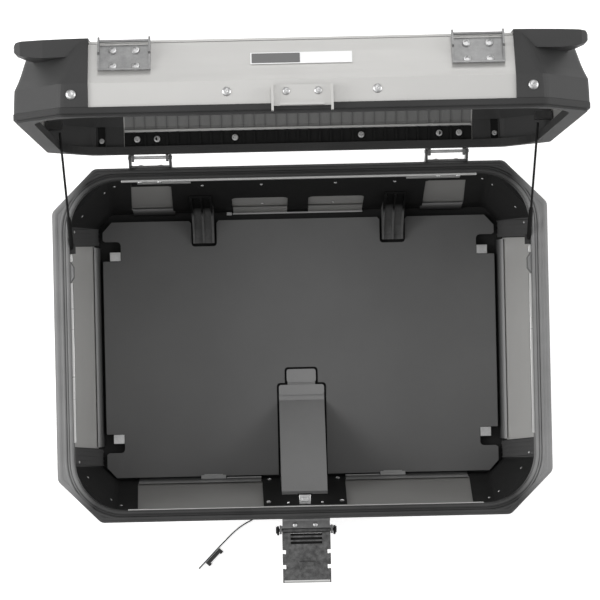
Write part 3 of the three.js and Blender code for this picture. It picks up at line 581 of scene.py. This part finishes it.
def octagon_loop(x, y, cut, height, reach=4.0):
    """The rim's outline at a height, with each corner rounded."""
    corners = [
        (x, cut - y), (x, y - cut), (x - cut, y), (cut - x, y),
        (-x, y - cut), (-x, cut - y), (cut - x, -y), (x - cut, -y),
    ]
    corners = [Vector((u, v, height)) for u, v in corners]
    loop = []
    for k, corner in enumerate(corners):
        start = corner + (corners[k - 1] - corner).normalized() * reach
        end = corner + (corners[(k + 1) % 8] - corner).normalized() * reach
        for t in (0, 0.25, 0.5, 0.75, 1):
            loop.append(start * (1 - t) ** 2 + corner * 2 * t * (1 - t) + end * t**2)
    return loop


def rounded_loop(x, y, radius, height, steps=14):
    loop = []
    for cx, cy, start in ((x, y, 0), (-x, y, 90), (-x, -y, 180), (x, -y, 270)):
        middle = Vector((cx - math.copysign(radius, cx), cy - math.copysign(radius, cy), height))
        for k in range(steps + 1):
            angle = math.radians(start + 90 * k / steps)
            loop.append(middle + Vector((math.cos(angle), math.sin(angle), 0)) * radius)
    return loop


def add_ring(bm, loop, radius, flat=1.0, sides=8):
    """A closed bead along a level loop."""
    count = len(loop)
    rings = []
    for k, point in enumerate(loop):
        ahead = (loop[(k + 1) % count] - loop[k - 1]).normalized()
        out = Vector((ahead.y, -ahead.x, 0))
        ring = []
        for step in range(sides):
            angle = 2 * math.pi * step / sides
            offset = out * math.cos(angle) * radius + Vector((0, 0, math.sin(angle) * radius * flat))
            ring.append(bm.verts.new(point + offset))
        rings.append(ring)
    for k in range(count):
        one, two = rings[k], rings[(k + 1) % count]
        for step in range(sides):
            other = (step + 1) % sides
            bm.faces.new((one[step], one[other], two[other], two[step]))


# ---- surfaces of the case, in millimetres -------------------------------------------------------

WALL_TOP = 206.7
FOOT_X, FOOT_Y = 262, 176  # half sizes of the walls at the underside
HEAD_X, HEAD_Y = 290, 206  # the same where they meet the rim
LINER_FACE = 7.5  # how far the inner faces lie inside that outline
CORNER_FACE = 6.0
SHEET_FACE = 4.5
SHEET_BACK = 2.5
FOOT_CUT = 20  # cut of the base's corners at the foot, how much it grows to the top, and its inset
CUT_GROWTH = 38
CUT_INSET = 3.5


def wall_x(height, inset):
    return FOOT_X + (HEAD_X - FOOT_X) * height / WALL_TOP - inset


def wall_y(height, inset):
    return FOOT_Y + (HEAD_Y - FOOT_Y) * height / WALL_TOP - inset


# The lid's front and rear faces as far as they stand upright and where they lean, seen closed.
LID_FRONT = 210.5
LID_LEAN = ((33, 0), (50, 7.5), (62, 12.5), (78, 19.5))


def lid_y(height, inset):
    """Distance from the middle to the lid's front or rear face at a height over its rim plane."""
    for (low, at_low), (high, at_high) in zip(LID_LEAN, LID_LEAN[1:]):
        if low <= height <= high:
            share = (height - low) / (high - low)
            return LID_FRONT - at_low - (at_high - at_low) * share - inset
    return LID_FRONT - inset


# ---- small parts of the case --------------------------------------------------------------------


def make_wall_rivets():
    """Small rivets round the inside of the walls, and larger ones up the edges outside."""
    inner = bmesh.new()
    for side in (-1, 1):
        for x in (45, 117):
            for height in (168, 60):
                place = (side * x, wall_y(height, LINER_FACE), height)
                add_head(inner, RIVET, place, (0, -1, 0.15), 2.0, 1.0)
        for end in (-1, 1):
            place = (side * 224, end * wall_y(166, CORNER_FACE), 166)
            add_head(inner, RIVET, place, (0, -end, 0.15), 1.9, 1.0)
            place = (side * wall_x(148, CORNER_FACE), end * 141, 148)
            add_head(inner, RIVET, place, (-side, 0, 0.15), 1.9, 1.8)
            for x, z in ((237, 154), (264.8, 154)):
                cut = FOOT_CUT + CUT_GROWTH * z / WALL_TOP - CUT_INSET
                y = wall_x(z, CORNER_FACE) + wall_y(z, CORNER_FACE) - cut - x
                add_head(inner, RIVET, (side * x, end * y, z), (-side, -end, 0.15), 1.7, 0.9)
    finish_piece("wall_rivets_inner", inner, "case", LOOKS["steel"])

    outer = bmesh.new()
    for side in (-1, 1):
        for end in (-1, 1):
            for z in (48, 115, 182):
                place = (side * 216, end * wall_y(z, 0), z)
                add_head(outer, RIVET, place, (0, end, -0.15), 4.0, 1.8)
                place = (side * wall_x(z, 0), end * 131, z)
                add_head(outer, RIVET, place, (side, 0, -0.15), 4.0, 1.8)
    finish_piece("wall_rivets_outer", outer, "case", LOOKS["steel"])


def make_wall_edges():
    """Bright edges along the opening, the hinges' backing strips, and tabs beside the stays."""
    strips = bmesh.new()
    add_block(strips, (-212, 194.3, 213.5), (212, 196.9, 221.5))
    add_block(strips, (-212, -196.9, 213.5), (212, -195.6, 221.5))
    for side in (-1, 1):
        x0, x1 = sorted((side * 271.7, side * 274.9))
        for y0, y1 in ((-115, 76), (100.5, 110)):
            add_block(strips, (x0, y0, 213.5), (x1, y1, 221.5))
    finish_piece("wall_edge_strips", strips, "case", LOOKS["bright"], bevel=0.4)

    backing = bmesh.new()
    rivets = bmesh.new()
    for side in (-1, 1):
        x0, x1 = sorted((side * 130, side * 194.5))
        z0, z1 = 187, 193.5
        front = LINER_FACE + 1.6
        add_slab(backing, [
            (x0, wall_y(z0, front), z0), (x1, wall_y(z0, front), z0),
            (x1, wall_y(z1, front), z1), (x0, wall_y(z1, front), z1),
        ], (0, 1.4, 0))
        for x in (166.5, 190):
            add_head(rivets, RIVET, (side * x, 194.3, 217), (0, -1, 0), 3.4, 1.6)
    finish_piece("hinge_backing", backing, "case", LOOKS["bright"], bevel=0.3)
    finish_piece("hinge_backing_rivets", rivets, "case", LOOKS["steel"])

    tabs = bmesh.new()
    for side in (-1, 1):
        outline = ((76, 274.9), (82, 270.6), (95, 270.6), (101, 274.9))
        low, high = ([(side * x, y, height) for y, x in outline] for height in (208, 223.5))
        add_prism(tabs, low, high)
    finish_piece("rim_tabs", tabs, "case", LOOKS["rim"], bevel=0.5)


def make_corner_flutes():
    """Upright ribs on the flat side of each corner piece, beside the side sheet, down to the floor."""
    plates = bmesh.new()
    z0, z1 = 7, 200
    spans = ((1.0, 25.5, 0.5), (3.5, 5.0, 1.2), (9.5, 11.0, 1.2), (15.5, 17.0, 1.2), (21.5, 23.0, 1.2))
    for side in (-1, 1):
        for end in (-1, 1):
            for low, high, proud in spans:
                reach = CORNER_FACE + proud
                a, b = side * wall_x(z0, reach), side * wall_x(z1, reach)
                # The plates narrow and lean with the slanting edge of the corner piece.
                foot = [end * (130.2 + share) for share in (low * 0.96, high * 0.96)]
                head = [end * (120.0 + share) for share in (low, high * 0.92)]
                add_slab(plates, [
                    (a, foot[0], z0), (a, foot[1], z0), (b, head[1], z1), (b, head[0], z1),
                ], (side * (proud + 0.2), 0, 0))
    finish_piece("corner_flutes", plates, "case", LOOKS["flute"], bevel=0.25)


def make_rim_beads():
    """The rim's rounded outer band, and the raised lips round the opening."""
    beads = bmesh.new()
    cut = 51 - 4.6 * (2 - math.sqrt(2))
    add_ring(beads, octagon_loop(295 - 4.6, 211 - 4.6, cut, 225.0), 2.2, 0.3, 12)
    for out, radius, flat in ((2.4, 1.7, 0.5), (9.6, 1.5, 0.35)):
        add_ring(beads, rounded_loop(275 + out, 197 + out, 60 + out, 225.0), radius, flat, 12)
    finish_piece("rim_beads", beads, "case", LOOKS["rim"])
    ledge = bmesh.new()
    add_ring(ledge, rounded_loop(275.5, 197.5, 60.5, 210), 0.9, 0.9)
    finish_piece("rim_lower_lip", ledge, "case", LOOKS["rim"])


def make_backplate_parts():
    """Screws on the lock's backplate, and the catch above it."""
    screws = bmesh.new()
    for x, height, radius in ((43.5, 32, 3.0), (44.5, 172, 3.0), (20.5, 180, 1.8)):
        for side in (-1, 1):
            place = (side * x, -wall_y(height, LINER_FACE), height)
            add_head(screws, SCREW, place, (0, 1, 0.15), radius, 1.3)
    finish_piece("backplate_screws", screws, "case", LOOKS["steel"])
    catch = bmesh.new()
    wall = -wall_y(188, LINER_FACE)
    add_block(catch, (-7.5, wall, 186.5), (6.5, wall + 11.5, 188.5))
    add_block(catch, (-7.5, wall, 176), (6.5, wall + 2.2, 187))
    add_block(catch, (-4.5, wall + 3, 188), (3.5, wall + 8.5, 190.5))
    finish_piece("backplate_catch", catch, "case", LOOKS["steel"], bevel=0.5)
    stop = bmesh.new()
    add_block(stop, (-9.5, wall + 10, 180), (8.5, wall + 12.6, 187.5))
    finish_piece("backplate_catch_stop", stop, "case", LOOKS["inner"], bevel=0.4)


APRON_TOP = 37  # heights between which a wall sheet's foot curves inwards, and how far it comes
APRON_LOW = 9
APRON_REACH = 9.0


def add_apron(bm, place, steps=8):
    """The foot of a wall sheet: it curves inwards between the wall and the floor cover."""
    before = None
    for k in range(steps + 1):
        share = k / steps
        row = place(APRON_TOP + (APRON_LOW - APRON_TOP) * share, APRON_REACH * share**2.6)
        if before:
            add_slab(bm, [before[0], before[1], row[1], row[0]], (0, 0, -0.4))
        before = row


def make_floor_parts():
    """Sheet feet in the windows, tabs that hold the floor cover's front edge, and a clip at the rear."""
    def along_x(x0, x1, end):
        def row(height, inward):
            lead = wall_y(APRON_TOP, SHEET_FACE + 0.2) - inward
            y = min(lead, wall_y(height, CORNER_FACE) - 0.4)
            return [Vector((x, end * y, height)) for x in (x0, x1)]
        return row

    def along_y(reach, side):
        def row(height, inward):
            lead = wall_x(APRON_TOP, SHEET_FACE + 0.2) - inward
            x = min(lead, wall_x(height, CORNER_FACE) - 0.4)
            return [Vector((side * x, y, height)) for y in (-reach, reach)]
        return row

    ledges = bmesh.new()
    feet = bmesh.new()
    side_feet = bmesh.new()
    for side in (-1, 1):
        add_apron(ledges, along_x(side * 13.5, side * 82.5, 1))
        add_apron(feet, along_x(side * 157, side * 210.5, 1))
        add_apron(feet, along_x(side * 54, side * 210.5, -1))
        add_apron(side_feet, along_y(127.5, side))
    finish_piece("wall_sheet_ledges", ledges, "case", LOOKS["alu"], smooth=50)
    finish_piece("wall_sheet_feet", feet, "case", LOOKS["foot"], smooth=50)
    finish_piece("side_sheet_feet", side_feet, "case", LOOKS["side_foot"], smooth=50)

    tabs = bmesh.new()
    for side in (-1, 1):
        low, high = sorted((side * 99, side * 131))
        add_block(tabs, (low, -171.4, 12.6), (high, -166.5, 16.0))
        add_block(tabs, (low + 4, -168, 15.0), (high - 4, -165.4, 16.6))
        low, high = sorted((side * 54, side * 98))
        add_block(tabs, (low, -171.2, 13.4), (high, -169.6, 15.0))
    finish_piece("floor_cover_tabs", tabs, "case", LOOKS["tab"], bevel=0.3)
    clip = bmesh.new()
    y = wall_y(20, LINER_FACE)
    add_block(clip, (-91, y - 5.5, 15.4), (-84.5, y - 1.5, 19))
    add_block(clip, (-83, y - 4.5, 15.4), (83, y - 2.6, 16.6))
    finish_piece("rear_clip", clip, "case", LOOKS["tab"], bevel=0.3)


# ---- small parts of the hinges and the latch ----------------------------------------------------


def make_hinge_parts():
    """Rivets through both leaves of each hinge."""
    low = bmesh.new()
    high = bmesh.new()
    for side in (-1, 1):
        for step in (-12, 12):
            x = side * 176.5 + step
            add_head(low, RIVET, (x, 213.7, 210), (0, 1, 0), 3.4, 2.0)
            for h in (12, 21):
                add_head(high, RIVET, (x, 213.7, h), (0, 1, 0), 3.0, 1.6)
    finish_piece("hinge_rivets_base", low, "case", LOOKS["steel"])
    finish_piece("hinge_rivets_lid", high, "lid", LOOKS["steel"], LID)


def make_latch_parts():
    """Rivets on the latch bracket, caps on its pin, and the dark plate behind the lever's slots."""
    rivets = bmesh.new()
    for x in (-13.5, 11):
        add_head(rivets, RIVET, (x, -219.5, 206.4), (0, 0, 1), 2.9, 1.5)
        add_head(rivets, RIVET, (x, -213.7, 193), (0, -1, 0), 2.7, 1.4)
    finish_piece("latch_rivets", rivets, "case", LOOKS["steel"])

    ears = bmesh.new()
    outline = []
    for k in range(16):
        angle = math.radians(360 * k / 16)
        outline.append((-226.6 + 5.6 * math.cos(angle), 198 + 5.6 * math.sin(angle)))
    for side in (-1, 1):
        x0, x1 = side * 32.5, side * 35.2
        add_prism(ears, [(x0, y, z) for y, z in outline], [(x1, y, z) for y, z in outline])
    finish_piece("latch_ears", ears, "case", LOOKS["inner"], bevel=0.6)

    plate = bmesh.new()
    add_block(plate, (-23, -246, 193.6), (23, -230.5, 195.2))
    finish_piece("lever_backing", plate, "lever", LOOKS["inner"], bevel=0.3)
    # The lever's upturned lip is real; its bright metal, far paler than the lever's own, is a painted highlight
    # along the edge.
    lip = bmesh.new()
    points = [Vector((x, -287.6, 196.4)) for x in (-27.5, -14, 0, 14, 27.5)]
    part = tube_points(points, 2.5, 12)
    mesh = bpy.data.meshes.new("lip")
    part.to_mesh(mesh)
    part.free()
    lip.from_mesh(mesh)
    bpy.data.meshes.remove(mesh)
    finish_piece("lever_lip", lip, "lever", LOOKS["bright"])


# ---- small parts of the lid ---------------------------------------------------------------------


def make_lid_rivets():
    """Rivets round the lid's lower band and on the striker bracket."""
    rivets = bmesh.new()
    for end in (-1, 1):
        for side in (-1, 1):
            add_head(rivets, RIVET, (side * 231, end * LID_FRONT, 22), (0, end, 0), 5.0, 2.0)
            add_head(rivets, RIVET, (side * 293, end * 128, 22), (side, 0, 0), 5.0, 2.0)
            sheet = end * (LID_FRONT - SHEET_BACK)
            add_head(rivets, RIVET, (side * 75.5, sheet, 22), (0, end, 0), 4.6, 1.8)
    for side in (-1, 1):
        add_head(rivets, RIVET, (side * 16, -213.8, 20.5), (0, -1, 0), 4.0, 1.7)
    finish_piece("lid_rivets", rivets, "lid", LOOKS["steel"], LID)


def make_lid_screws():
    """Screws along the liner strip inside the lid."""
    screws = bmesh.new()
    for side in (-1, 1):
        for x in (74.5, 166.5, 190):
            add_head(screws, SCREW, (side * x, 203.2, 17.6), (0, -1, 0), 4.0, 2.6)
        add_head(screws, SCREW, (side * 232, 204.3, 16.5), (0, -1, 0), 3.2, 1.6)
    finish_piece("lid_screws", screws, "lid", LOOKS["steel"], LID)


LINER_RIB = 203.2  # where the lid liner's ribs end


def make_lid_lining():
    """The rear wall inside the lid: a grey sheet with faint upright ribs over a bright edge."""
    sheet = bmesh.new()
    levels = (29.4, 33, 50, 62, 73)
    for low, high in zip(levels, levels[1:]):
        add_slab(sheet, [
            (-204.5, lid_y(low, 5.6), low), (204.5, lid_y(low, 5.6), low),
            (204.5, lid_y(high, 5.6), high), (-204.5, lid_y(high, 5.6), high),
        ], (0, 0.9, 0))
    for k in range(-15, 16):
        x = 12.9 * k
        for low, high in zip(levels, levels[1:]):
            add_slab(sheet, [
                (x - 1.5, lid_y(low, 6.1), low), (x + 1.5, lid_y(low, 6.1), low),
                (x + 1.5, lid_y(high, 6.1), high), (x - 1.5, lid_y(high, 6.1), high),
            ], (0, 0.8, 0))
    ribs = bmesh.new()
    for k in range(-15, 16):
        x = 12.9 * k
        for low, high in zip(levels, levels[1:]):
            add_slab(ribs, [
                (x - 0.5, lid_y(low, 6.8), low), (x + 0.5, lid_y(low, 6.8), low),
                (x + 0.5, lid_y(high, 6.8), high), (x - 0.5, lid_y(high, 6.8), high),
            ], (0, 0.8, 0))
        add_block(ribs, (x - 0.5, LINER_RIB - 0.5, 11.5), (x + 0.5, LINER_RIB + 0.6, 24.5))
    finish_piece("lid_rib_edges", ribs, "lid", LOOKS["rib"], LID)
    finish_piece("lid_rear_lining", sheet, "lid", LOOKS["lining"], LID, smooth=20)
    edge = bmesh.new()
    add_block(edge, (-204.5, 202.6, 26.3), (204.5, 205.4, 29.2))
    finish_piece("lid_lining_edge", edge, "lid", LOOKS["bright"], LID, bevel=0.5)


def make_lid_channels():
    """An upright channel in the inner wall of each rear lid corner."""
    channels = bmesh.new()
    floors = bmesh.new()
    for side in (-1, 1):
        for x in (226.6, 236.4):
            low, high = sorted((side * x, side * (x + 1.2)))
            add_block(channels, (low, 203.4, 10), (high, 204.9, 33))
        low, high = sorted((side * 227.8, side * 236.4))
        add_block(floors, (low, 204.2, 10), (high, 204.9, 33))
    finish_piece("lid_channel_sides", channels, "lid", LOOKS["black"], LID, bevel=0.4)
    # The channel floors take the darker lining black rather than the sides' moulding black: painted shade in the
    # recess.
    finish_piece("lid_channel_floors", floors, "lid", LOOKS["inner"], LID)


def on_slope(height, out):
    return lid_y(height, SHEET_BACK) + out


def make_tie_down_screws():
    """Four screws in each tie-down bracket."""
    screws = bmesh.new()
    for end in (-1, 1):
        for side in (-1, 1):
            for x in (166, 189):
                for height in (49.5, 66.5):
                    y = end * on_slope(height, 2.3)
                    add_head(screws, SCREW, (side * x, y, height), (0, end, 0.45), 4.2, 2.4)
    finish_piece("tie_down_screws", screws, "lid", LOOKS["steel"], LID)


def make_name_plate():
    """A blank plate: a thin white border, a dark field on the left and a white one on the right."""
    def field(name, x0, x1, low, high, lift, look):
        bm = bmesh.new()
        add_slab(bm, [
            (x0, -on_slope(low, lift), low), (x1, -on_slope(low, lift), low),
            (x1, -on_slope(high, lift), high), (x0, -on_slope(high, lift), high),
        ], (0, 0.3, -0.1))
        finish_piece(name, bm, "lid", look, LID, smooth=0)
    field("plate_dark_field", -49.8, -1.4, 50.5, 60.7, 1.85, LOOKS["plate_dark"])
    field("plate_light_field", -0.8, 49.8, 50.5, 60.7, 1.8, LOOKS["plate_light"])


def make_lid_top_parts():
    """Rivets round the top sheet."""
    rivets = bmesh.new()
    for side in (-1, 1):
        for y in (-90, 0, 90):
            add_head(rivets, RIVET, (side * 246, y, 77.6), (0, 0, 1), 4.0, 1.8)
        for x in (-140, 0, 140):
            add_head(rivets, RIVET, (x, side * 172, 77.6), (0, 0, 1), 4.0, 1.8)
    finish_piece("lid_top_rivets", rivets, "lid", LOOKS["steel"], LID)


# ---- stage --------------------------------------------------------------------------------------


def area_light(name, place, target, size, power):
    """A round soft light that faces its target; metres and watts."""
    data = bpy.data.lights.new(name, "AREA")
    data.shape = "DISK"
    data.size = size
    data.energy = power
    light = bpy.data.objects.new(name, data)
    light.location = place
    light.rotation_euler = (Vector(target) - Vector(place)).to_track_quat("-Z", "Y").to_euler()
    bpy.context.scene.collection.objects.link(light)


WORLD_DIM = 0.16
WORLD_BRIGHT = 1.0
FLOOR_GLOW = 0.45
# Name, place, target, size and power of each light.
LIGHTS = (
    ("key", (-1.2, -1.2, 3.1), (0, 0, 0.2), 2.0, 9),
    ("left", (-2.0, 0.25, 1.7), (0, 0, 0.1), 1.3, 26),
    ("right", (2.0, 0.25, 1.7), (0, 0, 0.1), 1.3, 14),
    ("rear", (0.2, 2.5, 2.5), (0, 0.3, 0.6), 1.6, 11),
    ("top", (-0.1, 0.95, 3.2), (0, 0, 0.1), 0.7, 4),
)


def make_world():
    """A soft studio: brighter towards the sides than towards the front and rear."""
    world = bpy.data.worlds.new("studio")
    world.use_nodes = True
    nodes, links = world.node_tree.nodes, world.node_tree.links
    background = nodes["Background"]
    background.inputs["Color"].default_value = (1, 1, 1, 1)
    split = nodes.new("ShaderNodeSeparateXYZ")
    links.new(nodes.new("ShaderNodeTexCoord").outputs["Generated"], split.inputs[0])
    parts = {}
    for axis in ("X", "Y"):
        size = nodes.new("ShaderNodeMath")
        size.operation = "ABSOLUTE"
        links.new(split.outputs[axis], size.inputs[0])
        parts[axis] = size.outputs[0]
    lead = nodes.new("ShaderNodeMath")
    lead.operation = "SUBTRACT"
    links.new(parts["X"], lead.inputs[0])
    links.new(parts["Y"], lead.inputs[1])
    level = nodes.new("ShaderNodeMapRange")
    links.new(lead.outputs[0], level.inputs["Value"])
    level.inputs["From Min"].default_value = -0.8
    level.inputs["From Max"].default_value = 0.8
    level.inputs["To Min"].default_value = WORLD_DIM
    level.inputs["To Max"].default_value = WORLD_BRIGHT
    links.new(level.outputs["Result"], background.inputs["Strength"])
    bpy.context.scene.world = world


def make_floor():
    """A plain pale floor that glows a little, so that it stays white between the shadows."""
    bm = bmesh.new()
    bmesh.ops.create_grid(bm, x_segments=1, y_segments=1, size=4)
    mesh = bpy.data.meshes.new("floor")
    bm.to_mesh(mesh)
    bm.free()
    look = Look("pale_floor", 0.9, specular=0.1)
    look.colour(look.ramp(look.noise(3, 2), [(0.0, grey(0.92)), (1.0, grey(0.95))]))
    look.shader.inputs["Emission Color"].default_value = (1, 1, 1, 1)
    look.shader.inputs["Emission Strength"].default_value = FLOOR_GLOW
    mesh.materials.append(look.material)
    floor = bpy.data.objects.new("floor", mesh)
    floor.location.z = -0.4 * MM
    bpy.context.scene.collection.objects.link(floor)


def make_stage():
    bpy.context.scene.view_settings.view_transform = "Standard"
    make_world()
    make_floor()
    for light in LIGHTS:
        area_light(*light)


make_camera()
make_stays()
make_tag_cord()
dress_frame()
make_wall_rivets()
make_wall_edges()
make_corner_flutes()
make_rim_beads()
make_backplate_parts()
make_floor_parts()
make_hinge_parts()
make_latch_parts()
make_lid_rivets()
make_lid_screws()
make_lid_lining()
make_lid_channels()
make_tie_down_screws()
make_name_plate()
make_lid_top_parts()
make_stage()
